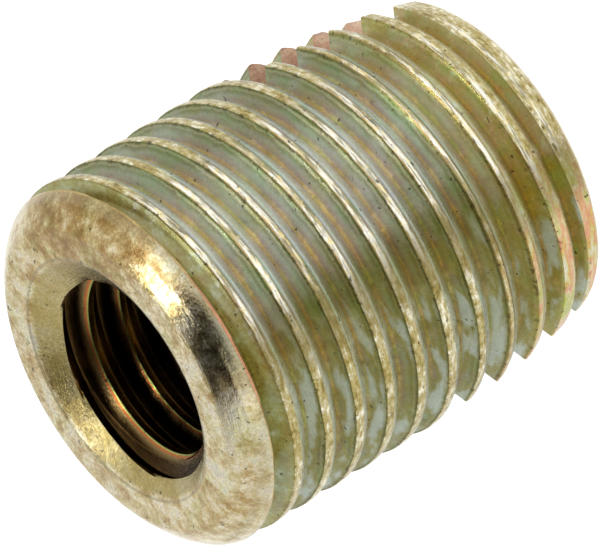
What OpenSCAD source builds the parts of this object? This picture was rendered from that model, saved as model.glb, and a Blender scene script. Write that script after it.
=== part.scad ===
// Self-tapping threaded insert with a cutting slot, turned in one piece.
// Millimetres. It stands on its slotted end: z = 0 is the slotted end face,
// +Z runs along the axis to the plain end, and the slot lies along X.

/* [Body] */
// outside diameter over the thread crests
body_d = 10; // [9.4:0.1:11]
// length along the axis
body_l = 11.9; // [11:0.1:16]
// diameter of the flat face at the plain end
face_d = 8.4; // [8:0.1:8.8]
// length of the rounded nose between the plain face and the full diameter
nose_l = 1; // [0.6:0.1:1.4]
// how far the nose swells out beyond a straight chamfer
nose_swell = 0.14; // [0.02:0.02:0.16]

/* [Outer thread] */
// distance from one crest to the next
thread_pitch = 1; // [0.9:0.05:1.25]
// depth from crest to root
thread_depth = 0.5; // [0.4:0.02:0.56]
// width of the flat land on the crest
land_w = 0.19; // [0.14:0.01:0.24]
// axial run of the steep flank, the one that faces the plain end
steep_run = 0.25; // [0.2:0.01:0.3]
// how far the middle of the other flank, the shoulder, swells out
shoulder_swell = 0.05; // [0.02:0.01:0.08]
// azimuth at which the crest's edge toward the plain end crosses z = 0
thread_turn = 70; // [0:2:358]
// length over which the groove fades out below the plain end
runout_l = 0.9; // [0.6:0.1:1.4]

/* [Lead-in taper] */
// length of the tapered part from the slotted end
lead_l = 4.5; // [3:0.25:5.5]
// diameter over the crests at the slotted end, before its rim is broken
lead_d = 8.84; // [8.5:0.1:9.2]
// how far the taper curves: 1 is a straight cone
lead_curve = 2.3; // [1:0.1:3]
// how much deeper the thread goes at the slotted end
lead_drop = 0.3; // [0.1:0.05:0.35]
// size of the broken edge round the slotted end
rim_c = 0.08; // [0.04:0.02:0.12]

/* [Cutting slot] */
// width across the slot
slot_w = 2.5; // [1.6:0.1:3]
// depth of the slot from the slotted end
slot_l = 5; // [3:0.25:5.5]

/* [Bore] */
// bore diameter over the inner thread's crests
bore_d = 5; // [4.8:0.05:5.2]
// diameter of the countersink at the plain face
sink_d = 6.7; // [6.2:0.1:7]
// depth of the countersink at the plain face
sink_l = 0.5; // [0.4:0.05:0.8]
// diameter of the countersink at the slotted end
far_sink_d = 5.8; // [5.4:0.1:6.2]
// depth of the countersink at the slotted end
far_sink_l = 0.35; // [0.2:0.05:0.5]

/* [Hidden] */
body_r = body_d / 2;
face_r = face_d / 2;
lead_r = lead_d / 2;
// facets per turn, and turns laid down: some beyond each end
seg = 48;
turns = ceil(body_l / thread_pitch) + 4;
z_first = -2 * thread_pitch;
// how far cutting bodies reach past the faces they cut
past = 1;
nose_steps = 8;
lead_steps = 6;
// the groove fades over this share of the run-out, and ends this far above the crests
fade_share = 0.7;
fade_over = 0.15;
// the ridge is carried this far above the crests; its sides lean in by these runs there
ridge_up = 0.05;
steep_lean = steep_run * ridge_up / thread_depth;
shoulder_run = thread_pitch - land_w - steep_run;
shoulder_lean = shoulder_run * ridge_up / (thread_depth - 2 * shoulder_swell);

// the nose: an arc over the straight line from the face edge to the full diameter
function nose_pt(t) =
    let (dx = body_r - face_r, dz = -nose_l, len = sqrt(dx * dx + dz * dz),
         out = 4 * nose_swell * t * (1 - t))
    [face_r + dx * t - out * dz / len, body_l + dz * t + out * dx / len];

// the blank's radius over the lead-in taper
function lead_at(z) = body_r - (body_r - lead_r) * pow(1 - z / lead_l, lead_curve);

// how far the thread is moved in, toward the slotted end, or out, where it fades
function thread_shift(z) =
    (thread_depth + fade_over) * max(0, min(1, (z - body_l + runout_l) / (runout_l * fade_share)))
    - lead_drop * max(0, min(1, 1 - z / lead_l));

// corners of the section, up from a crest's lower edge: height over its sharp edge, and radius
thread_section = [
    [-land_w + shoulder_lean, body_r + ridge_up],
    [-steep_lean, body_r + ridge_up],
    [steep_run, body_r - thread_depth],
    [steep_run + shoulder_run / 2, body_r - thread_depth / 2 + shoulder_swell]];

// one point of the helical strip: step i along the helix, corner j of the section
function thread_pt(i, j) =
    let (a = thread_turn + 360 * i / seg,
         z = z_first + thread_pitch * i / seg + thread_section[j][0],
         r = thread_section[j][1] + thread_shift(z))
    [r * cos(a), r * sin(a), z];

steps = turns * seg;
strip = [for (i = [0 : steps]) for (j = [0 : 3]) thread_pt(i, j)];
low_mid = len(strip);
high_mid = low_mid + 1;
thread_points = concat(strip,
    [[0, 0, z_first - thread_pitch], [0, 0, z_first + (turns + 1) * thread_pitch]]);

// index of corner j at step i; corner 4 is corner 0 one turn on
function at(i, j) = j < 4 ? 4 * i + j : 4 * (i + seg) + j - 4;
strip_faces = [for (i = [0 : steps - seg - 1]) for (j = [0 : 3])
    for (t = [0, 1]) t == 0 ? [at(i, j), at(i, j + 1), at(i + 1, j + 1)]
                            : [at(i, j), at(i + 1, j + 1), at(i + 1, j)]];
low_faces = concat(
    [for (i = [0 : seg - 1]) [low_mid, at(i, 0), at(i + 1, 0)]],
    [for (j = [0 : 3]) [low_mid, at(0, j + 1), at(0, j)]]);
last = steps - seg;
high_faces = concat(
    [for (i = [last : steps - 1]) [high_mid, at(i + 1, 0), at(i, 0)]],
    [for (j = [0 : 3]) [high_mid, at(last, j), at(last, j + 1)]]);

module threaded_rod()
    polyhedron(points = thread_points, faces = concat(strip_faces, low_faces, high_faces), convexity = 10);

// the turned blank: its faces cut the crests to their lands
module blank()
    rotate_extrude($fn = 96)
        polygon(concat(
            [[0, 0], [lead_at(0) - rim_c, 0]],
            [for (k = [0 : lead_steps]) let (z = k == 0 ? rim_c : lead_l * k / lead_steps) [lead_at(z), z]],
            [for (k = [nose_steps : -1 : 0]) nose_pt(k / nose_steps)],
            [[0, body_l]]));

module bore() {
    translate([0, 0, -past]) cylinder(d = bore_d, h = body_l + 2 * past, $fn = 96);
    translate([0, 0, body_l - sink_l])
        cylinder(d1 = bore_d, d2 = sink_d, h = sink_l, $fn = 96);
    translate([0, 0, body_l]) cylinder(d = sink_d, h = past, $fn = 96);
    cylinder(d1 = far_sink_d, d2 = bore_d, h = far_sink_l, $fn = 96);
    translate([0, 0, -past]) cylinder(d = far_sink_d, h = past, $fn = 96);
}

module slot()
    translate([-body_r - past, -slot_w / 2, -past])
        cube([body_d + 2 * past, slot_w, slot_l + past]);

// INSERT: zinc-plated, yellow-chromated free-cutting steel
module insert()
    color([0.72, 0.65, 0.42])
        difference() {
            intersection() {
                threaded_rod();
                blank();
            }
            bore();
            slot();
        }

insert();
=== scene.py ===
"""Looks of the self-tapping threaded insert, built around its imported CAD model.

The insert stands on its slotted end, as the CAD does: z = 0 is the slotted end face,
+Z runs up the axis to the plain end, and the cutting slot lies along X. Metres."""

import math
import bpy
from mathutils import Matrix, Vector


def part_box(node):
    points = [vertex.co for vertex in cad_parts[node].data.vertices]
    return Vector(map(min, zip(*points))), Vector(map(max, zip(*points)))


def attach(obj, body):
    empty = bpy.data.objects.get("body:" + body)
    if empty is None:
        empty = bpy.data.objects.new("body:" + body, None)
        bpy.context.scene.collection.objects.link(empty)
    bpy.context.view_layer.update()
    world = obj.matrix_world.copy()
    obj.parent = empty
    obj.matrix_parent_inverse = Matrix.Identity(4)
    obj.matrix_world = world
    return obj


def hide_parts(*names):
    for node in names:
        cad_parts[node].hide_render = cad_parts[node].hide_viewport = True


bl_info = {
    "name": "Threaded Insert Looks",
    "version": (1, 0, 0),
    "blender": (4, 5, 0),
    "location": "3D View > Sidebar > Insert",
    "description": "Builds the turned, slotted threaded insert with its plated finish",
    "category": "Object",
}

import bpy
from bpy.props import FloatProperty, FloatVectorProperty, IntProperty, PointerProperty
from mathutils import Matrix, Vector

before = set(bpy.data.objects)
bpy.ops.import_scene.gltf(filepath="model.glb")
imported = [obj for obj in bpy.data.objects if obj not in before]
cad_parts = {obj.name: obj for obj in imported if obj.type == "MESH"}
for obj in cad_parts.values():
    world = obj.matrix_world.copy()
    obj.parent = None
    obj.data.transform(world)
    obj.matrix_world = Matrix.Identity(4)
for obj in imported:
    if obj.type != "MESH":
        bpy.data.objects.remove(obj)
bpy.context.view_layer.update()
LOW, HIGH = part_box("insert")

MM = 0.001
MATH = "ShaderNodeMath"
VECTOR = "ShaderNodeVectorMath"

# smooth minimum and maximum distances that round off the thread's root and the turned edges
ROOT_ROUND = 0.06 * MM
EDGE_ROUND = 0.03 * MM
INNER_ROOT_ROUND = 0.04 * MM
INNER_CREST_ROUND = 0.02 * MM
# under the nose the groove fades over this share of the run-out, and rises this far
FADE_SHARE = 0.7
FADE_RISE = 0.65 * MM
# the lip's middle from a crest's sharp edge, and how far either way it thins from full to none
LIP_OFF = 0.05 * MM
LIP_FULL = 0.02 * MM
LIP_NONE = 0.08 * MM
# radius in mm at which the lip's noise is read
LIP_RADIUS = 5.0
# vertices closer than this are one, in the two skins and then round the slot's cut
WELD = 0.002 * MM
SLIVER = 0.0005 * MM
# how far the slot's cutter reaches past everything it leaves
CUT_PAST = 1.0 * MM
# edges that bend more than this stay sharp
CRISP = math.radians(38)
# from +X to the camera's side, as a share of a turn
CAMERA_TURN = 84 / 360


def linear(code):
    """An sRGB hex colour as the linear RGBA that Blender's sockets take."""
    parts = [int(code[i : i + 2], 16) / 255 for i in (1, 3, 5)]
    return [p / 12.92 if p <= 0.04045 else ((p + 0.055) / 1.055) ** 2.4 for p in parts] + [1.0]


def add(tree, kind, feeds=(), stops=(), **settings):
    """Add one node. Settings are its properties; feeds go to its inputs, in order or by key;
    stops are a colour ramp's (place, hex colour) pairs. A node given as a feed gives its
    first output in use, and None leaves an input alone."""
    node = tree.nodes.new(kind)
    for name, value in settings.items():
        setattr(node, name, value)
    for key, value in feeds.items() if isinstance(feeds, dict) else enumerate(feeds):
        if isinstance(value, bpy.types.Node):
            value = next(s for s in value.outputs if s.enabled)
        if isinstance(value, bpy.types.NodeSocket):
            tree.links.new(value, node.inputs[key])
        elif value is not None:
            node.inputs[key].default_value = value
    if stops:
        marks = node.color_ramp.elements
        marks.remove(marks[1])
        marks[0].position, marks[0].color = stops[0][0], linear(stops[0][1])
        for place, code in stops[1:]:
            marks.new(place).color = linear(code)
    return node


class InsertSizes(bpy.types.PropertyGroup):
    """Sizes of the turned body. The overall ones come from the CAD model."""

    radius: FloatProperty(
        name="Body Radius", description="Over the thread crests", default=(HIGH.x - LOW.x) / 2, unit="LENGTH"
    )
    length: FloatProperty(name="Length", description="Along the axis", default=HIGH.z - LOW.z, unit="LENGTH")
    face_radius: FloatProperty(
        name="Face Radius", description="Edge of the flat plain face", default=4.2 * MM, unit="LENGTH"
    )
    nose_length: FloatProperty(
        name="Nose Length", description="Rounded nose under the plain face", default=1.0 * MM, unit="LENGTH"
    )
    nose_power: FloatProperty(
        name="Nose Power", description="2 is a parabola, 1 a straight chamfer", default=1.9
    )
    pitch: FloatProperty(name="Pitch", description="Of both threads", default=1.0 * MM, unit="LENGTH")
    thread_depth: FloatProperty(
        name="Thread Depth", description="Crest to root", default=0.5 * MM, unit="LENGTH"
    )
    land: FloatProperty(name="Land Width", description="Flat on the crest", default=0.19 * MM, unit="LENGTH")
    shoulder: FloatProperty(
        name="Shoulder Run",
        description="Rounded flank that faces the slotted end",
        default=0.56 * MM,
        unit="LENGTH",
    )
    shoulder_power: FloatProperty(name="Shoulder Power", description="1 is a straight flank", default=1.5)
    steep: FloatProperty(
        name="Steep Flank Slope",
        description="Radial rise per axial length, facing the plain end",
        default=2.0,
    )
    thread_turn: FloatProperty(
        name="Thread Start",
        description="Azimuth at z = 0 of the crest's edge toward the plain end",
        default=math.radians(70.6),
        subtype="ANGLE",
    )
    runout: FloatProperty(
        name="Run-out", description="Length over which the groove fades out", default=0.9 * MM, unit="LENGTH"
    )
    lead_length: FloatProperty(
        name="Lead-in Length", description="Tapered part", default=4.5 * MM, unit="LENGTH"
    )
    lead_radius: FloatProperty(
        name="Lead-in Radius", description="At the slotted end face", default=4.42 * MM, unit="LENGTH"
    )
    lead_power: FloatProperty(name="Lead-in Power", description="1 is a straight taper", default=2.3)
    lead_drop: FloatProperty(
        name="Lead-in Thread Drop",
        description="Extra depth at the slotted end",
        default=0.3 * MM,
        unit="LENGTH",
    )
    rim: FloatProperty(
        name="Rim Edge", description="Broken edge round the slotted end", default=0.08 * MM, unit="LENGTH"
    )
    inner_slope: FloatProperty(
        name="Inner Flank Slope", description="Radial rise per axial length", default=1.73
    )
    slot_width: FloatProperty(
        name="Slot Width", description="Across the slot", default=2.5 * MM, unit="LENGTH"
    )
    slot_depth: FloatProperty(
        name="Slot Depth", description="From the slotted end", default=5.0 * MM, unit="LENGTH"
    )
    bore_radius: FloatProperty(
        name="Bore Radius", description="Over the inner crests", default=2.5 * MM, unit="LENGTH"
    )
    inner_depth: FloatProperty(
        name="Inner Thread Depth", description="Crest to root", default=0.5 * MM, unit="LENGTH"
    )
    inner_land: FloatProperty(
        name="Inner Land Width", description="Flat on the inner crest", default=0.2 * MM, unit="LENGTH"
    )
    inner_turn: FloatProperty(
        name="Inner Thread Start",
        description="Azimuth of the crest at z = 0",
        default=math.radians(204),
        subtype="ANGLE",
    )
    sink_radius: FloatProperty(
        name="Countersink Radius", description="At the plain face", default=3.35 * MM, unit="LENGTH"
    )
    sink_slope: FloatProperty(
        name="Countersink Slope", description="Radial rise per axial length", default=1.7
    )
    far_sink_radius: FloatProperty(
        name="Far Countersink Radius", description="At the slotted face", default=2.9 * MM, unit="LENGTH"
    )
    burr: FloatProperty(
        name="Burr Height", description="Lip on each crest's plain side", default=0.014 * MM, unit="LENGTH"
    )
    rows: IntProperty(name="Rows", description="Mesh steps in one turn", default=160, min=24)
    outer_columns: IntProperty(
        name="Outer Columns", description="Mesh steps in one outer pitch", default=28, min=8
    )
    inner_columns: IntProperty(
        name="Inner Columns", description="Mesh steps in one inner pitch", default=12, min=6
    )


class StudioSettings(bpy.types.PropertyGroup):
    """Camera and lamps."""

    lens: FloatProperty(
        name="Lens", description="Focal length of the long lens", default=1142.0, unit="CAMERA"
    )
    distance: FloatProperty(
        name="Distance", description="Camera to the plain face", default=0.4652, unit="LENGTH"
    )
    lift: FloatProperty(
        name="Lift", description="Camera height over the horizon", default=math.radians(27.6), subtype="ANGLE"
    )
    azimuth: FloatProperty(
        name="Azimuth", description="Camera direction from +X", default=math.radians(-84.23), subtype="ANGLE"
    )
    roll: FloatProperty(
        name="Roll", description="Turn about the view line", default=math.radians(-121.452), subtype="ANGLE"
    )
    shift: FloatVectorProperty(
        name="Shift",
        description="Plain face centre from the picture centre",
        size=2,
        default=(-0.004502, 0.002613),
    )
    key: FloatProperty(
        name="Key Lamp", description="Power of the main soft lamp", default=0.075, unit="POWER"
    )
    top: FloatProperty(
        name="Top Lamp", description="Power of the small lamp overhead", default=0.19, unit="POWER"
    )
    fill: FloatProperty(name="Fill Lamp", description="Power of the side lamp", default=0.05, unit="POWER")


def helix_grid(tree, size, per_pitch):
    """A flat grid read as a skin: one side goes once round the axis, the other climbs it,
    sheared by one pitch a turn so that its lines follow the thread. Returns the mesh, the
    turn from 0 to 1, the height clamped to the body, the height eased over the plain
    face's edge, and how far a point has run on past an end, over its face."""
    step = add(tree, MATH, (size["Pitch"], per_pitch), operation="DIVIDE")
    below = add(tree, MATH, (size["End Run"], size["Pitch"]), operation="ADD")
    reach = add(tree, MATH, (size["End Run"], size["Length"]), operation="ADD")
    reach = add(tree, MATH, (reach, below), operation="ADD")
    columns = add(tree, MATH, (reach, step), operation="DIVIDE")
    columns = add(tree, MATH, (columns,), operation="CEIL")
    grid = add(
        tree,
        "GeometryNodeMeshGrid",
        {
            "Size X": columns,
            "Size Y": size["Rows"],
            "Vertices X": add(tree, MATH, (columns, 1.0), operation="ADD"),
            "Vertices Y": add(tree, MATH, (size["Rows"], 1.0), operation="ADD"),
        },
    )
    place = add(tree, "ShaderNodeSeparateXYZ", (add(tree, "GeometryNodeInputPosition"),))
    turn = add(tree, MATH, (place.outputs[1], size["Rows"]), operation="DIVIDE")
    turn = add(tree, MATH, (turn, 0.5), operation="ADD")
    half = add(tree, MATH, (columns, 0.5, place.outputs[0]), operation="MULTIPLY_ADD")
    height = add(tree, MATH, (half, step), operation="MULTIPLY")
    height = add(tree, MATH, (turn, size["Pitch"], height), operation="MULTIPLY_ADD")
    height = add(tree, MATH, (height, below), operation="SUBTRACT")
    near = add(tree, MATH, (step, 0.5), operation="MULTIPLY")
    for end in (0.0, size["Length"]):
        # the column nearest an end face lands on its edge
        gap = add(tree, MATH, (height, end), operation="SUBTRACT")
        off = add(tree, MATH, (add(tree, MATH, (gap,), operation="ABSOLUTE"), near), operation="GREATER_THAN")
        height = add(tree, MATH, (gap, off, end), operation="MULTIPLY_ADD")
    clamped = add(tree, MATH, (height, 0.0), operation="MAXIMUM")
    clamped = add(tree, MATH, (clamped, size["Length"]), operation="MINIMUM")
    run = add(tree, MATH, (add(tree, MATH, (height, clamped), operation="SUBTRACT"),), operation="ABSOLUTE")
    eased = add(tree, MATH, (height, size["Length"], size["Edge Ease"]), operation="SMOOTH_MIN")
    eased = add(tree, MATH, (eased, 0.0), operation="MAXIMUM")
    return grid, turn, clamped, eased, run


def along_thread(tree, height, turn, pitch, start, middle):
    """Distance from a right-hand thread's line, along the axis toward the slotted end: from 0
    to one pitch, or from minus to plus half a pitch where middle is true."""
    laps = add(tree, MATH, (height, pitch), operation="DIVIDE")
    laps = add(tree, MATH, (turn, laps), operation="SUBTRACT")
    laps = add(tree, MATH, (start, -1 / math.tau, laps), operation="MULTIPLY_ADD")
    low, high = (-0.5, 0.5) if middle else (0.0, 1.0)
    laps = add(tree, MATH, (laps, high, low), operation="WRAP")
    return add(tree, MATH, (laps, pitch), operation="MULTIPLY")


def place_skin(tree, grid, radius, turn, height, flip):
    """Wrap the flat grid round the axis at these radii and heights."""
    angle = add(tree, MATH, (turn, math.tau), operation="MULTIPLY")
    x = add(tree, MATH, (radius, add(tree, MATH, (angle,), operation="COSINE")), operation="MULTIPLY")
    y = add(tree, MATH, (radius, add(tree, MATH, (angle,), operation="SINE")), operation="MULTIPLY")
    where = add(tree, "ShaderNodeCombineXYZ", (x, y, height))
    skin = add(tree, "GeometryNodeSetPosition", {"Geometry": grid, "Position": where})
    return add(tree, "GeometryNodeFlipFaces", (skin,)) if flip else skin


def stop_at_join(tree, size, radius, height, limit):
    """Hold a skin's radius at the line where both skins meet on the end face near it."""
    high = add(tree, MATH, (height, size["Slot Depth"]), operation="GREATER_THAN")
    join = add(tree, "GeometryNodeSwitch", (high, size["Low Join"], size["Top Join"]), input_type="FLOAT")
    return add(tree, MATH, (radius, join), operation=limit)


def turned_blank(tree, size, height, depth):
    """Radius of the blank, with its rounded nose and curved taper, and how far along the taper
    a point is, from 0 at its top to 1 at the slotted end."""
    nose = add(tree, MATH, (depth, size["Nose Length"]), operation="DIVIDE")
    nose = add(tree, MATH, (1.0, nose), operation="SUBTRACT", use_clamp=True)
    nose = add(tree, MATH, (nose, size["Nose Power"]), operation="POWER")
    shy = add(tree, MATH, (size["Radius"], size["Face Radius"]), operation="SUBTRACT")
    shy = add(tree, MATH, (nose, shy), operation="MULTIPLY")
    blank = add(tree, MATH, (size["Radius"], shy), operation="SUBTRACT")
    lead = add(tree, MATH, (height, size["Lead Length"]), operation="DIVIDE", use_clamp=True)
    lead = add(tree, MATH, (1.0, lead), operation="SUBTRACT")
    curve = add(tree, MATH, (lead, size["Lead Power"]), operation="POWER")
    thin = add(tree, MATH, (size["Radius"], size["Lead Radius"]), operation="SUBTRACT")
    thin = add(tree, MATH, (curve, thin), operation="MULTIPLY")
    return add(tree, MATH, (blank, thin), operation="SUBTRACT"), lead


def cut_thread(tree, size, height, depth, turn, lead):
    """Radius the self-tapping thread is cut to. From a crest's sharp edge toward the slotted
    end it has a flat land, a rounded shoulder, then the next crest's steep flank."""
    past = along_thread(tree, height, turn, size["Pitch"], size["Thread Start"], False)
    beyond = add(tree, MATH, (past, size["Land"]), operation="SUBTRACT")
    share = add(tree, MATH, (beyond, size["Shoulder"]), operation="DIVIDE")
    share = add(tree, MATH, (share, 0.0), operation="MAXIMUM")
    share = add(tree, MATH, (share, size["Shoulder Power"]), operation="POWER")
    fall = add(tree, MATH, (share, size["Thread Depth"]), operation="MULTIPLY")
    proud = add(tree, MATH, (beyond, 0.0), operation="MINIMUM")
    proud = add(tree, MATH, (proud, fall), operation="ADD")
    shoulder = add(tree, MATH, (size["Radius"], proud), operation="SUBTRACT")
    rise = add(tree, MATH, (past, size["Steep"], size["Radius"]), operation="MULTIPLY_ADD")
    ridge = add(tree, MATH, (rise, shoulder), operation="MINIMUM")
    ahead = add(tree, MATH, (past, size["Pitch"]), operation="SUBTRACT")
    flank = add(tree, MATH, (ahead, size["Steep"], size["Radius"]), operation="MULTIPLY_ADD")
    groove = add(tree, MATH, (ridge, flank, ROOT_ROUND), operation="SMOOTH_MAX")
    drop = add(tree, MATH, (lead, size["Lead Drop"]), operation="MULTIPLY")
    groove = add(tree, MATH, (groove, drop), operation="SUBTRACT")
    # the groove rises out of the blank under the nose
    fade = add(tree, MATH, (size["Run-out"], depth), operation="SUBTRACT")
    fade = add(tree, MATH, (fade, size["Run-out"]), operation="DIVIDE")
    fade = add(tree, MATH, (fade, 1 / FADE_SHARE), operation="MULTIPLY", use_clamp=True)
    return add(tree, MATH, (fade, FADE_RISE, groove), operation="MULTIPLY_ADD")


def ragged_lip(tree, size, height, turn):
    """The ragged lip that the tool left along each crest's plain side, from -1 where there is
    none to 0 where it stands as far out as the blank."""
    lip = along_thread(tree, height, turn, size["Pitch"], size["Thread Start"], True)
    lip = add(tree, MATH, (lip, LIP_OFF), operation="SUBTRACT")
    lip = add(tree, MATH, (lip,), operation="ABSOLUTE")
    span = (lip, LIP_FULL, LIP_NONE, 1.0, 0.0)
    lip = add(tree, "ShaderNodeMapRange", span, interpolation_type="SMOOTHSTEP")
    angle = add(tree, MATH, (turn, math.tau), operation="MULTIPLY")
    x = add(tree, MATH, (add(tree, MATH, (angle,), operation="COSINE"), LIP_RADIUS), operation="MULTIPLY")
    y = add(tree, MATH, (add(tree, MATH, (angle,), operation="SINE"), LIP_RADIUS), operation="MULTIPLY")
    z = add(tree, MATH, (height, 1 / MM), operation="MULTIPLY")
    spot = add(tree, "ShaderNodeCombineXYZ", (x, y, z))
    ragged = add(tree, "ShaderNodeTexNoise", {"Vector": spot, "Scale": 2.2, "Detail": 2.0, "Roughness": 0.6})
    lip = add(tree, MATH, (lip, ragged.outputs[0]), operation="MULTIPLY")
    lip = add(tree, MATH, (lip, 1.6), operation="MULTIPLY", use_clamp=True)
    return add(tree, MATH, (lip, 1.0), operation="SUBTRACT")


def outer_skin(tree, size):
    """The outside: nose, self-tapping thread and lead-in taper, and half of each end face."""
    grid, turn, height, eased, run = helix_grid(tree, size, size["Outer Columns"])
    depth = add(tree, MATH, (size["Length"], height), operation="SUBTRACT")
    blank, lead = turned_blank(tree, size, height, depth)
    groove = cut_thread(tree, size, height, depth, turn, lead)
    lip = ragged_lip(tree, size, height, turn)
    blank = add(tree, MATH, (lip, size["Burr"], blank), operation="MULTIPLY_ADD")
    radius = add(tree, MATH, (blank, groove, EDGE_ROUND), operation="SMOOTH_MIN")
    # the broken edge round the slotted end
    rim = add(tree, MATH, (size["Lead Radius"], size["Rim"]), operation="SUBTRACT")
    rim = add(tree, MATH, (rim, height), operation="ADD")
    radius = add(tree, MATH, (radius, rim, EDGE_ROUND), operation="SMOOTH_MIN")
    radius = add(tree, MATH, (radius, run), operation="SUBTRACT")
    radius = stop_at_join(tree, size, radius, height, "MAXIMUM")
    return place_skin(tree, grid, radius, turn, eased, True)


def inner_skin(tree, size):
    """The inside: tapped thread, both countersinks, and the other half of each end face."""
    grid, turn, height, _, run = helix_grid(tree, size, size["Inner Columns"])
    across = along_thread(tree, height, turn, size["Pitch"], size["Inner Start"], True)
    away = add(tree, MATH, (across,), operation="ABSOLUTE")
    beyond = add(tree, MATH, (size["Inner Land"], -0.5, away), operation="MULTIPLY_ADD")
    wall = add(tree, MATH, (beyond, size["Inner Slope"], size["Bore Radius"]), operation="MULTIPLY_ADD")
    wall = add(tree, MATH, (wall, size["Bore Radius"], INNER_CREST_ROUND), operation="SMOOTH_MAX")
    root = add(tree, MATH, (size["Bore Radius"], size["Inner Depth"]), operation="ADD")
    wall = add(tree, MATH, (wall, root, INNER_ROOT_ROUND), operation="SMOOTH_MIN")
    depth = add(tree, MATH, (size["Length"], height), operation="SUBTRACT")
    for mouth, way in ((size["Sink Radius"], depth), (size["Far Sink Radius"], height)):
        cone = add(tree, MATH, (way, size["Sink Slope"]), operation="MULTIPLY")
        cone = add(tree, MATH, (mouth, cone), operation="SUBTRACT")
        wall = add(tree, MATH, (wall, cone, EDGE_ROUND), operation="SMOOTH_MAX")
    radius = add(tree, MATH, (wall, run), operation="ADD")
    radius = stop_at_join(tree, size, radius, height, "MINIMUM")
    return place_skin(tree, grid, radius, turn, height, False)


# the node tree's inputs, and the size that each takes
INPUTS = (
    ("Radius", "radius"),
    ("Length", "length"),
    ("Face Radius", "face_radius"),
    ("Nose Length", "nose_length"),
    ("Nose Power", "nose_power"),
    ("Pitch", "pitch"),
    ("Thread Depth", "thread_depth"),
    ("Land", "land"),
    ("Shoulder", "shoulder"),
    ("Shoulder Power", "shoulder_power"),
    ("Steep", "steep"),
    ("Thread Start", "thread_turn"),
    ("Run-out", "runout"),
    ("Lead Length", "lead_length"),
    ("Lead Radius", "lead_radius"),
    ("Lead Power", "lead_power"),
    ("Lead Drop", "lead_drop"),
    ("Rim", "rim"),
    ("Slot Width", "slot_width"),
    ("Slot Depth", "slot_depth"),
    ("Bore Radius", "bore_radius"),
    ("Inner Depth", "inner_depth"),
    ("Inner Land", "inner_land"),
    ("Inner Slope", "inner_slope"),
    ("Inner Start", "inner_turn"),
    ("Sink Radius", "sink_radius"),
    ("Sink Slope", "sink_slope"),
    ("Far Sink Radius", "far_sink_radius"),
    ("Burr", "burr"),
    ("Rows", "rows"),
    ("Outer Columns", "outer_columns"),
    ("Inner Columns", "inner_columns"),
)
# how far a skin runs on over an end face, the width over which it bends there, and the radii at
# which the two skins meet on the slotted and on the plain face
FIXED = (("End Run", 0.8 * MM), ("Edge Ease", 0.12 * MM), ("Low Join", 3.6 * MM), ("Top Join", 3.7 * MM))


def insert_tree(finish):
    """Geometry Nodes for the whole body: both skins welded, then the slot cut through."""
    tree = bpy.data.node_groups.new("insert_body", "GeometryNodeTree")
    tree.interface.new_socket("Geometry", in_out="OUTPUT", socket_type="NodeSocketGeometry")
    for name, prop in INPUTS:
        kind = "NodeSocketInt" if prop in ("rows", "outer_columns", "inner_columns") else "NodeSocketFloat"
        tree.interface.new_socket(name, in_out="INPUT", socket_type=kind)
    for name, value in FIXED:
        tree.interface.new_socket(name, in_out="INPUT", socket_type="NodeSocketFloat").default_value = value
    size = {s.name: s for s in tree.nodes.new("NodeGroupInput").outputs}
    both = add(tree, "GeometryNodeJoinGeometry", (outer_skin(tree, size),))
    tree.links.new(inner_skin(tree, size).outputs[0], both.inputs[0])
    shell = add(tree, "GeometryNodeMergeByDistance", {"Geometry": both, "Distance": WELD})
    wide = add(tree, MATH, (size["Radius"], 2.0, 2 * CUT_PAST), operation="MULTIPLY_ADD")
    tall = add(tree, MATH, (size["Slot Depth"], CUT_PAST), operation="ADD")
    block = add(tree, "ShaderNodeCombineXYZ", (wide, size["Slot Width"], tall))
    cutter = add(tree, "GeometryNodeMeshCube", {"Size": block})
    centre = add(tree, MATH, (size["Slot Depth"], CUT_PAST), operation="SUBTRACT")
    centre = add(tree, MATH, (centre, 0.5), operation="MULTIPLY")
    centre = add(tree, "ShaderNodeCombineXYZ", (0.0, 0.0, centre))
    cutter = add(tree, "GeometryNodeTransform", {"Geometry": cutter, "Translation": centre})
    cut = add(
        tree,
        "GeometryNodeMeshBoolean",
        {"Mesh 1": shell, "Mesh 2": cutter},
        operation="DIFFERENCE",
        solver="MANIFOLD",
    )
    cut = add(tree, "GeometryNodeMergeByDistance", {"Geometry": cut, "Distance": SLIVER})
    bend = add(tree, "GeometryNodeInputMeshEdgeAngle")
    crisp = add(tree, MATH, (bend, CRISP), operation="GREATER_THAN")
    smooth = add(tree, "GeometryNodeSetShadeSmooth", {"Geometry": cut}, domain="FACE")
    smooth = add(
        tree,
        "GeometryNodeSetShadeSmooth",
        {"Geometry": smooth, "Selection": crisp, "Shade Smooth": False},
        domain="EDGE",
    )
    solid = add(tree, "GeometryNodeRealizeInstances", (smooth,))
    coat = add(tree, "GeometryNodeSetMaterial", {"Geometry": solid, "Material": finish})
    add(tree, "NodeGroupOutput", (coat,))
    return tree


# chromate film over one pitch, from a crest's sharp edge toward the slotted end: worn land,
# silver shoulder turning gold toward the root, then the steep flank of the next crest.
# The stops hold painted light and shade as well as the film's colour: the shoulder is
# painted near white, and the flank is painted darker toward the root.
THREAD_FILM_AND_LIGHT = (
    (0.000, "#94875A"),
    (0.050, "#C0B284"),
    (0.100, "#C4B88C"),
    (0.150, "#A8A07A"),
    (0.195, "#807D62"),
    (0.270, "#B6CBC7"),
    (0.350, "#F9F9F9"),
    (0.440, "#F9F9F9"),
    (0.540, "#F9F9F9"),
    (0.655, "#F9F9F5"),
    (0.755, "#CFC99F"),
    (0.804, "#9B988A"),
    (0.877, "#97A58D"),
    (0.926, "#7B8660"),
    (0.955, "#9AA281"),
    (0.985, "#647044"),
)
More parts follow.
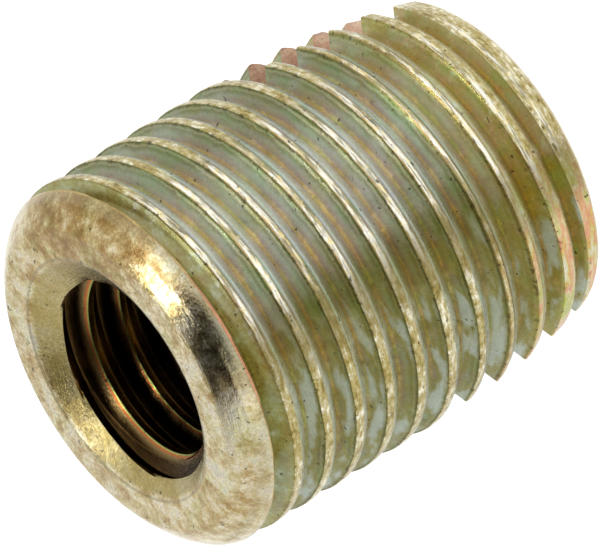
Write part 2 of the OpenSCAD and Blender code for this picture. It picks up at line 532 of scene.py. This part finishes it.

# painted light and shade round the body, as a share of a turn from the camera's side:
# lighter a little to one side of it, darker a little to the other
ROUND_PAINTED_LIGHT = (
    (0.000, "#F4EEEC"),
    (0.045, "#FFFCFC"),
    (0.085, "#FFFCFC"),
    (0.115, "#F4EEEA"),
    (0.150, "#EEEAE0"),
    (0.300, "#F4EEE4"),
    (0.800, "#E8E4D4"),
    (0.905, "#EEECDC"),
    (0.935, "#E2DCC0"),
    (0.957, "#D4CEAE"),
    (0.980, "#E0DAC8"),
    (0.998, "#F4EEEC"),
)

# film inside the bore, over one inner pitch from a crest's middle toward the slotted end;
# away from the crests it is painted dark, as shade in the thread's hollows
BORE_FILM_AND_SHADE = (
    (0.00, "#A8945A"),
    (0.09, "#B09C68"),
    (0.12, "#5E4A26"),
    (0.30, "#544220"),
    (0.60, "#544220"),
    (0.72, "#7C643A"),
    (0.83, "#8A744A"),
    (0.865, "#B46232"),
    (0.895, "#94A05C"),
    (0.93, "#BAA264"),
    (0.97, "#927C48"),
)

# colour ramps over a noise: the grooves' mixed film on the taper, and the film's iridescence
MIXED_FILM = (
    (0.36, "#AA883C"),
    (0.43, "#B6A250"),
    (0.49, "#A4AA5C"),
    (0.54, "#C0A46A"),
    (0.60, "#C8C690"),
    (0.66, "#D8DCD0"),
)
TINT = ((0.34, "#A2C49A"), (0.44, "#BEBCB4"), (0.51, "#C6A6C0"), (0.58, "#CCB07C"), (0.68, "#A8C4AA"))
# lands: rubbed bright and painted brighter still as a highlight on an arc near the camera's
# side, still golden, and warm on the taper's lower side
HIGHLIT_WEAR_LAND = ((0.43, "#7C7A66"), (0.475, "#A8A690"), (0.51, "#D6D3C0"), (0.55, "#F2F0E4"))
GOLDEN_LAND = (
    (0.39, "#7E6E3A"),
    (0.44, "#9A8A50"),
    (0.48, "#AE9E66"),
    (0.515, "#B8AC7C"),
    (0.55, "#C8C09C"),
    (0.59, "#E8E2C8"),
    (0.65, "#F6F2E2"),
)
WARM_LAND = ((0.38, "#B4BC5C"), (0.46, "#D8C898"), (0.53, "#DA9A7A"), (0.58, "#CCB860"), (0.66, "#D8D4B8"))
# blotches of the nose and the slotted end, of the first groove and of the slot's walls
GOLD = (
    (0.29, "#8C7042"),
    (0.38, "#A48C5A"),
    (0.44, "#B6A474"),
    (0.50, "#C8BC92"),
    (0.56, "#DAD2B4"),
    (0.64, "#C8C4B0"),
)
FIRST_GROOVE = ((0.36, "#8A7840"), (0.45, "#A29A5C"), (0.52, "#AEAE7C"), (0.57, "#BABE98"), (0.64, "#D6DED2"))
SLOT_WALLS = ((0.35, "#C2A474"), (0.50, "#C6A290"), (0.62, "#DCCAAA"))


def body_places(tree, sizes):
    """Where a point lies: on and in the body in mm, round it from the camera's side in turns,
    and across one pitch of each thread from 0 to 1."""
    texture = add(tree, "ShaderNodeTexCoord")
    spot = add(tree, VECTOR, {0: texture.outputs["Object"], "Scale": 1 / MM}, operation="SCALE")
    x, y, height = add(tree, "ShaderNodeSeparateXYZ", (spot,)).outputs
    flat = add(tree, "ShaderNodeCombineXYZ", (x, y, 0.0))
    angle = add(tree, MATH, (y, x), operation="ARCTAN2")
    turn = add(tree, MATH, (angle, 1 / math.tau), operation="MULTIPLY")
    climbed = add(tree, MATH, (height, -MM / sizes.pitch, turn), operation="MULTIPLY_ADD")
    laps = add(tree, MATH, (climbed, sizes.thread_turn / math.tau), operation="SUBTRACT")
    inner = add(tree, MATH, (climbed, sizes.inner_turn / math.tau), operation="SUBTRACT")
    return {
        "spot": spot,
        "way": add(tree, VECTOR, (flat,), operation="NORMALIZE"),
        "radius": add(tree, VECTOR, (flat,), operation="LENGTH"),
        "across slot": add(tree, MATH, (y,), operation="ABSOLUTE"),
        "height": height,
        "depth": add(tree, MATH, (sizes.length / MM, height), operation="SUBTRACT"),
        "front": add(tree, MATH, (turn, CAMERA_TURN), operation="ADD"),
        "laps": laps,
        "band": add(tree, MATH, (laps,), operation="FRACT"),
        "inner band": add(tree, MATH, (inner,), operation="FRACT"),
    }


def film_noises(tree, at):
    """The film's noises, and how many features each has in a millimetre: plating grain is
    1/13 mm across, a blotch 2/3 mm. Some are even, lathe lines and smears are drawn out round
    the body, and streaks along it."""
    # the radius counts as well as the height, so that the flat faces get lines too
    climb = add(tree, MATH, (at["radius"], 1.7, at["height"]), operation="MULTIPLY_ADD")
    climb = add(tree, "ShaderNodeCombineXYZ", (0.0, 0.0, climb))
    lathe = add(tree, VECTOR, (at["way"], (0.6, 0.6, 0.6), climb), operation="MULTIPLY_ADD")
    smear = add(tree, VECTOR, (at["way"], (2.0, 2.0, 2.0), climb), operation="MULTIPLY_ADD")
    streak = add(tree, VECTOR, (at["spot"], (1.0, 1.0, 0.28)), operation="MULTIPLY")
    noise = {}
    for name, place, per_mm, fine, rough in (
        ("blotch", at["spot"], 1.5, 7.0, 0.78),
        ("grain", at["spot"], 13.0, 3.0, 0.75),
        ("speck", at["spot"], 6.5, 1.0, 0.5),
        ("pale", smear, 1.7, 3.0, 0.5),
        ("streak", streak, 14.0, 2.0, 0.6),
        ("lathe", lathe, 13.0, 3.0, 0.65),
        ("smear", smear, 9.0, 3.0, 0.65),
        ("hue", smear, 1.6, 3.0, 0.6),
        ("nick", at["spot"], 5.0, 4.0, 0.72),
    ):
        feeds = {"Vector": place, "Scale": per_mm, "Detail": fine, "Roughness": rough}
        noise[name] = add(tree, "ShaderNodeTexNoise", feeds)
    return noise


def nose_brink(tree, sizes, at, copper):
    """How far a point is from the nose's brink, where the first groove's shoulder falls away
    from it. The line is widest where copper shows."""
    fade = sizes.runout * FADE_SHARE / MM
    rise = add(tree, MATH, (at["depth"], -1 / fade, 1 / FADE_SHARE), operation="MULTIPLY_ADD", use_clamp=True)
    past_land = (at["band"], sizes.pitch / sizes.shoulder, -sizes.land / sizes.shoulder)
    fall = add(tree, MATH, past_land, operation="MULTIPLY_ADD", use_clamp=True)
    fall = add(tree, MATH, (fall, sizes.shoulder_power), operation="POWER")
    fall = add(tree, MATH, (fall, -sizes.thread_depth / MM, EDGE_ROUND / MM), operation="MULTIPLY_ADD")
    brink = add(tree, MATH, (rise, FADE_RISE / MM, fall), operation="MULTIPLY_ADD")
    brink = add(tree, MATH, (brink,), operation="ABSOLUTE")
    return add(tree, MATH, (copper, -0.045, brink), operation="MULTIPLY_ADD")


def body_zones(tree, sizes, at, noise):
    """Masks from 0 to 1 over the parts of the body that the finish tells apart, and over the
    arcs round it where light and shade are painted.
    """
    sink, half_slot, slot_top = sizes.sink_radius / MM, sizes.slot_width / 2 / MM, sizes.slot_depth / MM
    # how far under the turned blank, which only the lands keep
    lead = add(tree, MATH, (at["height"], MM / sizes.lead_length), operation="MULTIPLY", use_clamp=True)
    lead = add(tree, MATH, (1.0, lead), operation="SUBTRACT")
    lead = add(tree, MATH, (lead, sizes.lead_power), operation="POWER")
    thinner = (sizes.lead_radius - sizes.radius) / MM
    blank = add(tree, MATH, (lead, thinner, sizes.radius / MM), operation="MULTIPLY_ADD")
    under = add(tree, MATH, (blank, at["radius"]), operation="SUBTRACT")

    ragged = add(tree, MATH, (noise["lathe"], 0.20, at["band"]), operation="MULTIPLY_ADD")
    edge = add(tree, MATH, (at["band"], 0.5), operation="PINGPONG")
    flank = add(tree, MATH, (at["band"], 0.87), operation="SUBTRACT")
    flank = add(tree, MATH, (flank,), operation="ABSOLUTE")
    closed = add(tree, MATH, (at["laps"], sizes.length / sizes.pitch), operation="ADD")
    mouth = add(tree, MATH, (at["radius"], sink), operation="SUBTRACT")
    mouth = add(tree, MATH, (mouth,), operation="ABSOLUTE")
    copper = add(tree, MATH, (at["front"], 0.02), operation="ADD")
    copper = add(tree, MATH, (copper,), operation="ABSOLUTE")
    copper = add(tree, "ShaderNodeMapRange", (copper, 0.09, 0.02, 0.0, 1.0), interpolation_type="SMOOTHSTEP")
    # each mask's value, where it is 0 and where it is 1: lengths in mm, shares of a pitch or of a
    # turn from the camera's side, and noises
    zone = {
        name: add(tree, "ShaderNodeMapRange", (value, none, full, 0.0, 1.0), interpolation_type="SMOOTHSTEP")
        for name, value, none, full in (
            ("land", under, 0.035, 0.012),
            ("sunken", under, 0.012, 0.035),
            ("edge", edge, 0.06, 0.02),
            ("flank", flank, 0.12, 0.05),
            ("bright", ragged, 0.305, 0.255),
            ("crisp", ragged, 0.12, 0.16),
            ("falling", at["band"], 0.76, 0.70),
            ("shut", closed, 1.0, 0.96),
            ("off face", at["depth"], 0.02, 0.10),
            ("nose", at["depth"], 0.02, 0.08),
            ("ring low", at["depth"], 0.40, 0.48),
            ("deep", at["depth"], 0.47, 0.53),
            ("plain", at["depth"], 0.84, 0.81),
            ("threaded", at["depth"], 0.81, 0.84),
            ("first", at["depth"], 0.96, 1.00),
            ("collar", at["depth"], 1.04, 0.99),
            ("brink", nose_brink(tree, sizes, at, copper), 0.065, 0.03),
            ("taper", at["height"], 3.6, 2.4),
            ("far", at["height"], 0.05, 0.01),
            ("mouth", mouth, 0.06, 0.02),
            ("sink", at["radius"], sink + 0.05, sink - 0.01),
            ("bore", at["radius"], 3.10, 3.04),
            ("root", at["radius"], 2.54, 2.80),
            ("slot", at["across slot"], half_slot + 0.0006, half_slot + 0.0002),
            ("below", at["height"], slot_top + 0.02, slot_top - 0.01),
            # the arc near the camera's side where the lands carry a painted highlight
            ("highlight arc low", at["front"], -22 / 360, -6 / 360),
            ("highlight arc high", at["front"], 50 / 360, 40 / 360),
            # the arc where the nose carries a painted dark reflection
            ("dark reflection low", at["front"], -28 / 360, -18 / 360),
            ("dark reflection high", at["front"], 13 / 360, 6 / 360),
            # the arc where the lands carry a painted dark reflection
            ("dim low", at["front"], -32 / 360, -22 / 360),
            ("dim high", at["front"], -2 / 360, -12 / 360),
            ("side", at["front"], 0.0, -0.10),
            ("upper", at["front"], 18 / 360, 45 / 360),
            ("lower", at["front"], 105 / 360, 75 / 360),
            ("gold glint", noise["smear"], 0.53, 0.60),
            ("steady", noise["hue"], 0.40, 0.52),
            ("stained", noise["nick"], 0.44, 0.60),
            ("nicked", noise["nick"], 0.54, 0.62),
            ("patch", noise["pale"], 0.46, 0.60),
            ("border", noise["pale"], 0.36, 0.48),
            ("dark", noise["speck"], 0.72, 0.76),
        )
    }
    zone["copper"] = copper
    zone["mostly side"] = add(tree, MATH, (zone["side"], 0.8, 0.2), operation="MULTIPLY_ADD")
    zone["half steady"] = add(tree, MATH, (zone["steady"], 0.5, 0.5), operation="MULTIPLY_ADD")
    # masks that several others make up
    for name, parts in (
        ("pale arc", ("upper", "lower")),
        ("highlight arc", ("highlight arc low", "highlight arc high")),
        ("wear and highlight", ("highlight arc", "land", "bright", "crisp", "half steady")),
        ("dim", ("dim low", "dim high", "land", "threaded")),
        ("stained", ("side", "stained")),
        ("border", ("side", "border", "flank")),
        ("patch", ("mostly side", "patch", "flank")),
        ("nicked", ("nicked", "edge", "threaded")),
        ("groove", ("first", "shut", "sunken")),
        ("collar", ("collar", "brink", "falling")),
        ("ring", ("ring low", "plain")),
        ("dark reflection", ("dark reflection low", "dark reflection high", "plain", "nose")),
        ("slot", ("slot", "below")),
        ("sunk", ("sink", "off face")),
        ("inside", ("bore", "deep")),
    ):
        mask = zone[parts[0]]
        for part in parts[1:]:
            mask = add(tree, MATH, (mask, zone[part]), operation="MULTIPLY")
        zone[name] = mask
    # lands that kept their gold: away from the arc with the painted highlight, and on the taper
    kept = add(tree, MATH, (1.0, zone["highlight arc"]), operation="SUBTRACT")
    kept = add(tree, MATH, (kept, zone["taper"]), operation="MAXIMUM")
    zone["kept"] = add(tree, MATH, (kept, zone["land"]), operation="MULTIPLY")
    return zone


def film_colour(tree, at, noise, zone):
    """The film's colours, laid over one another from the threads' bands to the dark specks,
    with painted light and shade among them.
    """
    highlit_wear_noise = add(tree, "ShaderNodeMix", (0.45, None, noise["lathe"], noise["hue"]))
    gilding = add(tree, "ShaderNodeMix", (0.55, None, noise["smear"], noise["blotch"]))
    # the plain end is more golden on one side, paler on the other
    golden_side = add(tree, MATH, (zone["pale arc"], -0.12, noise["blotch"]), operation="MULTIPLY_ADD")
    ramp = {
        name: add(tree, "ShaderNodeValToRGB", (value,), stops=stops)
        for name, value, stops in (
            ("mixed", noise["blotch"], MIXED_FILM),
            ("tint", noise["hue"], TINT),
            ("warm", noise["hue"], WARM_LAND),
            ("highlit wear", highlit_wear_noise, HIGHLIT_WEAR_LAND),
            ("golden", gilding, GOLDEN_LAND),
            ("gold", golden_side, GOLD),
            ("young", noise["blotch"], FIRST_GROOVE),
            ("cut", noise["blotch"], SLOT_WALLS),
            ("inner", at["inner band"], BORE_FILM_AND_SHADE),
        )
    }
    # the film's bands follow the thread with a slight wander, and painted light and shade,
    # drifting a little, change round the body
    wander = add(tree, MATH, (noise["blotch"], 0.5), operation="SUBTRACT")
    wander = add(tree, MATH, (wander, at["band"]), operation="MULTIPLY")
    shown = add(tree, MATH, (wander, 0.16, at["band"]), operation="MULTIPLY_ADD")
    film = add(tree, "ShaderNodeValToRGB", (shown,), stops=THREAD_FILM_AND_LIGHT)
    painted_round_light = add(tree, MATH, (noise["hue"], 0.06, at["front"]), operation="MULTIPLY_ADD")
    painted_round_light = add(tree, MATH, (painted_round_light, 0.03), operation="SUBTRACT")
    painted_round_light = add(tree, MATH, (painted_round_light,), operation="FRACT")
    painted_round_light = add(tree, "ShaderNodeValToRGB", (painted_round_light,), stops=ROUND_PAINTED_LIGHT)
    film = add(tree, "ShaderNodeMix", {0: 1.0, 6: film, 7: painted_round_light}, data_type="RGBA", blend_type="MULTIPLY")
    span = (at["height"], 4.0, 1.5, 0.0, 0.62)
    tail = add(tree, "ShaderNodeMapRange", span, interpolation_type="SMOOTHSTEP")
    film = add(tree, "ShaderNodeMix", {0: tail, 6: film, 7: ramp["mixed"]}, data_type="RGBA")
    tinged = add(tree, MATH, (zone["side"], tail), operation="MULTIPLY")
    tinged = add(tree, MATH, (tinged, 1.5), operation="MULTIPLY", use_clamp=True)
    golden = add(tree, "ShaderNodeMix", {0: tinged, 6: ramp["golden"], 7: ramp["warm"]}, data_type="RGBA")
    # iridescence over the threads, and less of it over the turned ends
    colour, turned = (
        add(tree, "ShaderNodeMix", feeds, data_type="RGBA", blend_type="OVERLAY")
        for feeds in ({0: 0.3, 6: film, 7: ramp["tint"]}, {0: 0.16, 6: ramp["gold"], 7: ramp["tint"]})
    )
    for mask, share, over in (
        ("stained", 0.35, linear("#8C7A3C")),
        ("kept", 1.0, golden),
        # the lands' real wear, with a painted highlight over it on that arc and gold glints painted in it
        ("wear and highlight", 1.0, ramp["highlit wear"]),
        ("wear and highlight", add(tree, MATH, (zone["gold glint"], 0.7), operation="MULTIPLY"), linear("#F2DC94")),
        # painted dark reflection on the lands just below the camera's side
        ("dim", 0.55, linear("#6E6238")),
        ("border", 0.7, linear("#8E8A4C")),
        ("patch", 0.85, linear("#C6D0C6")),
        ("nicked", 0.6, linear("#3A3020")),
        ("groove", 0.7, ramp["young"]),
        ("plain", 1.0, turned),
        # painted dark reflection on the nose
        ("dark reflection", 0.5, linear("#766C54")),
        ("collar", 0.8, linear("#B8984E")),
        ("collar", zone["copper"], linear("#D48662")),
        ("far", 1.0, ramp["gold"]),
        ("ring", 0.3, linear("#ACA484")),
        ("sunk", 0.78, linear("#A2925A")),
        ("mouth", 0.5, linear("#8C8266")),
        # the bore's film, with its roots painted darker still as shade
        ("inside", 1.0, ramp["inner"]),
        ("inside", zone["root"], linear("#46341B")),
        ("slot", 1.0, ramp["cut"]),
        ("dark", 0.8, linear("#3A3424")),
    ):
        cover = add(tree, MATH, (zone[mask], share), operation="MULTIPLY")
        colour = add(tree, "ShaderNodeMix", {0: cover, 6: colour, 7: over}, data_type="RGBA")
    # fine grain in the film's depth of colour
    swing = add(tree, MATH, (zone["plain"], 0.12, 0.16), operation="MULTIPLY_ADD")
    shade = add(tree, "ShaderNodeMapRange", (noise["grain"], 0.25, 0.75, -1.0, 1.0))
    shade = add(tree, MATH, (shade, swing, 1.0), operation="MULTIPLY_ADD")
    return add(tree, VECTOR, {0: colour, "Scale": shade}, operation="SCALE")


def plated_steel(sizes):
    """Free-cutting steel, turned and slotted, then zinc plated and yellow chromated in a
    barrel: a thin film whose colour bands follow the cut, gold and cream blotches where the
    plating is thick, and crests bright from wear, with short nicks. Painted light and shade lie
    in the colour too: a highlight with glints on the crests near the camera's side, a dark
    reflection on the nose and on the lands below it, and shade round the body, toward the
    thread's roots and in the bore."""
    made = bpy.data.materials.new("zinc_plated_yellow_chromated_steel_turned")
    made.use_nodes = True
    tree = made.node_tree
    shader = tree.nodes["Principled BSDF"]
    at = body_places(tree, sizes)
    noise = film_noises(tree, at)
    zone = body_zones(tree, sizes, at, noise)
    tree.links.new(film_colour(tree, at, noise, zone).outputs[0], shader.inputs["Base Color"])

    shader.inputs["Metallic"].default_value = 1.0
    rough = add(tree, "ShaderNodeMapRange", (noise["blotch"], 0.35, 0.65, 0.24, 0.40))
    for mask, more in (("plain", -0.12), ("sunk", -0.14), ("patch", 0.25)):
        rough = add(tree, MATH, (zone[mask], more, rough), operation="MULTIPLY_ADD")
    tree.links.new(rough.outputs[0], shader.inputs["Roughness"])

    # relief: lathe lines round the plain parts, streaks on the lands, plating grain, which is
    # coarse in the countersink and fine elsewhere
    lines = add(tree, MATH, (noise["lathe"], 1.8), operation="MULTIPLY")
    lines = add(tree, MATH, (lines, zone["plain"]), operation="MULTIPLY")
    marks = add(tree, MATH, (noise["streak"], 0.4, noise["lathe"]), operation="MULTIPLY_ADD")
    relief = add(tree, MATH, (marks, zone["land"], lines), operation="MULTIPLY_ADD")
    coarse = add(tree, MATH, (1.0, zone["inside"]), operation="SUBTRACT")
    coarse = add(tree, MATH, (coarse, zone["sunk"]), operation="MULTIPLY")
    coarse = add(tree, MATH, (coarse, 0.7, 0.5), operation="MULTIPLY_ADD")
    relief = add(tree, MATH, (noise["grain"], coarse, relief), operation="MULTIPLY_ADD")
    bump = add(tree, "ShaderNodeBump", {"Strength": 0.5, "Distance": 0.02 * MM, "Height": relief})
    tree.links.new(bump.outputs[0], shader.inputs["Normal"])
    return made


class INSERT_OT_body(bpy.types.Operator):
    """Build the turned, threaded and slotted body that replaces the CAD node"""

    bl_idname = "insert.body"
    bl_label = "Insert Body"

    def execute(self, context):
        sizes = context.scene.insert_sizes
        tree = insert_tree(plated_steel(sizes))
        host = bpy.data.objects.new("insert_host", bpy.data.meshes.new("insert_host"))
        context.scene.collection.objects.link(host)
        modifier = host.modifiers.new("insert_body", "NODES")
        modifier.node_group = tree
        sockets = {s.name: s.identifier for s in tree.interface.items_tree if s.in_out == "INPUT"}
        for name, prop in INPUTS:
            modifier[sockets[name]] = getattr(sizes, prop)
        whole = bpy.data.meshes.new_from_object(host.evaluated_get(context.evaluated_depsgraph_get()))
        bpy.data.objects.remove(host)
        if not whole.polygons:
            raise RuntimeError("the insert's node tree gave no faces")
        whole.name = "insert_body"
        piece = bpy.data.objects.new("insert_body", whole)
        context.scene.collection.objects.link(piece)
        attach(piece, "root")
        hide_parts("insert")
        return {"FINISHED"}


# soft lamps: azimuth and height in degrees, distance from the body, width and height in metres
LAMPS = (
    ("key", -29, 51, 0.30, 0.12, 0.12),
    ("top", -12, 72, 0.30, 0.06, 0.05),
    ("fill", -130, 35, 0.35, 0.20, 0.20),
)
# gaps between the soft boxes: azimuth and height of the middle, half-angles of the edge and the
# core, all in degrees, and how dark the core is
GAPS = (
    (-93, 60, 29, 20, 0.96),
    (-148, 77, 23, 11, 0.9),
    (148, 71, 26, 9, 0.4),
)
# the surround's strength where it lights matt surfaces, the floor's own glow, and half its width
DIFFUSE_SKY = 0.55
FLOOR_GLOW = 0.9
FLOOR_HALF = 0.35


def direction(azimuth, lift):
    """The unit vector that points away from the body at this azimuth and height."""
    flat = math.cos(lift)
    return Vector((math.cos(azimuth) * flat, math.sin(azimuth) * flat, math.sin(lift)))


def soft_lamp(name, azimuth, lift, distance, width, tall, power):
    """An area lamp that faces the middle of the body."""
    away = direction(math.radians(azimuth), math.radians(lift))
    light = bpy.data.lights.new(name, "AREA")
    light.shape = "RECTANGLE"
    light.size, light.size_y = width, tall
    light.energy = power
    lamp = bpy.data.objects.new(name, light)
    lamp.location = away * distance + Vector((0, 0, 6 * MM))
    lamp.rotation_euler = away.to_track_quat("Z", "Y").to_euler()
    bpy.context.scene.collection.objects.link(lamp)


def place_camera(scene):
    """A long lens that looks at the plain end, turned about the view line so that the body
    lies across the picture."""
    studio = scene.insert_studio
    lens = bpy.data.cameras.new("camera")
    lens.sensor_width = 36.0
    lens.lens = studio.lens
    lens.clip_start, lens.clip_end = 0.01, 5.0
    camera = bpy.data.objects.new("camera", lens)
    back = direction(studio.azimuth, studio.lift)
    up = direction(studio.azimuth, studio.lift + math.pi / 2)
    side = up.cross(back)
    level, tilt = math.cos(studio.roll), math.sin(studio.roll)
    right = level * side + tilt * up
    top = -tilt * side + level * up
    face = Vector((0, 0, scene.insert_sizes.length))
    at = face + back * studio.distance - right * studio.shift[0] + top * studio.shift[1]
    camera.matrix_world = Matrix.Translation(at) @ Matrix((right, top, back)).transposed().to_4x4()
    scene.collection.objects.link(camera)
    scene.camera = camera


def white_surround(scene):
    """White behind the body, and white all round it for reflections to show, with dim gaps
    between the soft boxes that only a first reflection shows."""
    world = bpy.data.worlds.new("surround")
    scene.world = world
    world.use_nodes = True
    tree = world.node_tree
    path = add(tree, "ShaderNodeLightPath").outputs
    straight, mirrored = path["Is Camera Ray"], path["Is Glossy Ray"]
    seen = add(tree, MATH, (straight, mirrored), operation="MAXIMUM")
    strength = add(tree, "ShaderNodeMapRange", (seen, 0.0, 1.0, DIFFUSE_SKY, 1.0))
    toward = add(tree, "ShaderNodeTexCoord").outputs["Generated"]
    first = add(tree, MATH, (path["Glossy Depth"], 1.5), operation="LESS_THAN")
    for azimuth, lift, edge, core, dim in GAPS:
        way = direction(math.radians(azimuth), math.radians(lift))
        near = add(tree, VECTOR, (toward, way), operation="DOT_PRODUCT")
        span = (near, math.cos(math.radians(edge)), math.cos(math.radians(core)), 0.0, dim)
        gap = add(tree, "ShaderNodeMapRange", span, interpolation_type="SMOOTHSTEP")
        gap = add(tree, MATH, (gap, first), operation="MULTIPLY")
        gap = add(tree, MATH, (1.0, gap), operation="SUBTRACT")
        strength = add(tree, MATH, (strength, gap), operation="MULTIPLY")
    hidden = add(tree, MATH, (1.0, straight), operation="SUBTRACT")
    strength = add(tree, MATH, (strength, hidden, straight), operation="MULTIPLY_ADD")
    sky = tree.nodes["Background"]
    sky.inputs["Color"].default_value = (1, 1, 1, 1)
    tree.links.new(strength.outputs[0], sky.inputs["Strength"])


def paper_floor(scene):
    """Matt white paper under the body. It glows for the camera and in reflections, so that it
    goes as white as the surround."""
    corners = [(x * FLOOR_HALF, y * FLOOR_HALF, 0) for x, y in ((-1, -1), (1, -1), (1, 1), (-1, 1))]
    mesh = bpy.data.meshes.new("floor")
    mesh.from_pydata(corners, [], [(0, 1, 2, 3)])
    floor = bpy.data.objects.new("floor", mesh)
    scene.collection.objects.link(floor)
    made = bpy.data.materials.new("matt_white_paper_floor")
    made.use_nodes = True
    tree = made.node_tree
    shader = tree.nodes["Principled BSDF"]
    shader.inputs["Base Color"].default_value = linear("#B4B4B4")
    shader.inputs["Roughness"].default_value = 0.9
    shader.inputs["Specular IOR Level"].default_value = 0.1
    shader.inputs["Emission Color"].default_value = (1, 1, 1, 1)
    path = add(tree, "ShaderNodeLightPath").outputs
    seen = add(tree, MATH, (path["Is Camera Ray"], path["Is Glossy Ray"]), operation="MAXIMUM")
    glow = add(tree, MATH, (seen, FLOOR_GLOW), operation="MULTIPLY")
    tree.links.new(glow.outputs[0], shader.inputs["Emission Strength"])
    mesh.materials.append(made)


class INSERT_OT_studio(bpy.types.Operator):
    """Set the pale floor, the soft lamps, the white surround and the camera"""

    bl_idname = "insert.studio"
    bl_label = "Insert Studio"

    def execute(self, context):
        scene = context.scene
        scene.view_settings.view_transform = "Standard"
        place_camera(scene)
        white_surround(scene)
        paper_floor(scene)
        for name, *place in LAMPS:
            soft_lamp(name, *place, getattr(scene.insert_studio, name))
        return {"FINISHED"}


class VIEW3D_PT_insert(bpy.types.Panel):
    """Lists the insert's operators and sizes"""

    bl_label = "Threaded Insert"
    bl_idname = "VIEW3D_PT_insert"
    bl_space_type = "VIEW_3D"
    bl_region_type = "UI"
    bl_category = "Insert"

    def draw(self, context):
        column = self.layout.column(align=True)
        column.operator("insert.body")
        column.operator("insert.studio")
        for group in (context.scene.insert_sizes, context.scene.insert_studio):
            box = self.layout.box()
            for name in group.bl_rna.properties.keys():
                if name not in ("rna_type", "name"):
                    box.prop(group, name)


CLASSES = (InsertSizes, StudioSettings, INSERT_OT_body, INSERT_OT_studio, VIEW3D_PT_insert)


def register():
    for cls in CLASSES:
        bpy.utils.register_class(cls)
    bpy.types.Scene.insert_sizes = PointerProperty(type=InsertSizes)
    bpy.types.Scene.insert_studio = PointerProperty(type=StudioSettings)


def unregister():
    del bpy.types.Scene.insert_sizes
    del bpy.types.Scene.insert_studio
    for cls in reversed(CLASSES):
        bpy.utils.unregister_class(cls)


def main():
    register()
    bpy.ops.insert.body()
    bpy.ops.insert.studio()


if __name__ == "__main__":
    main()
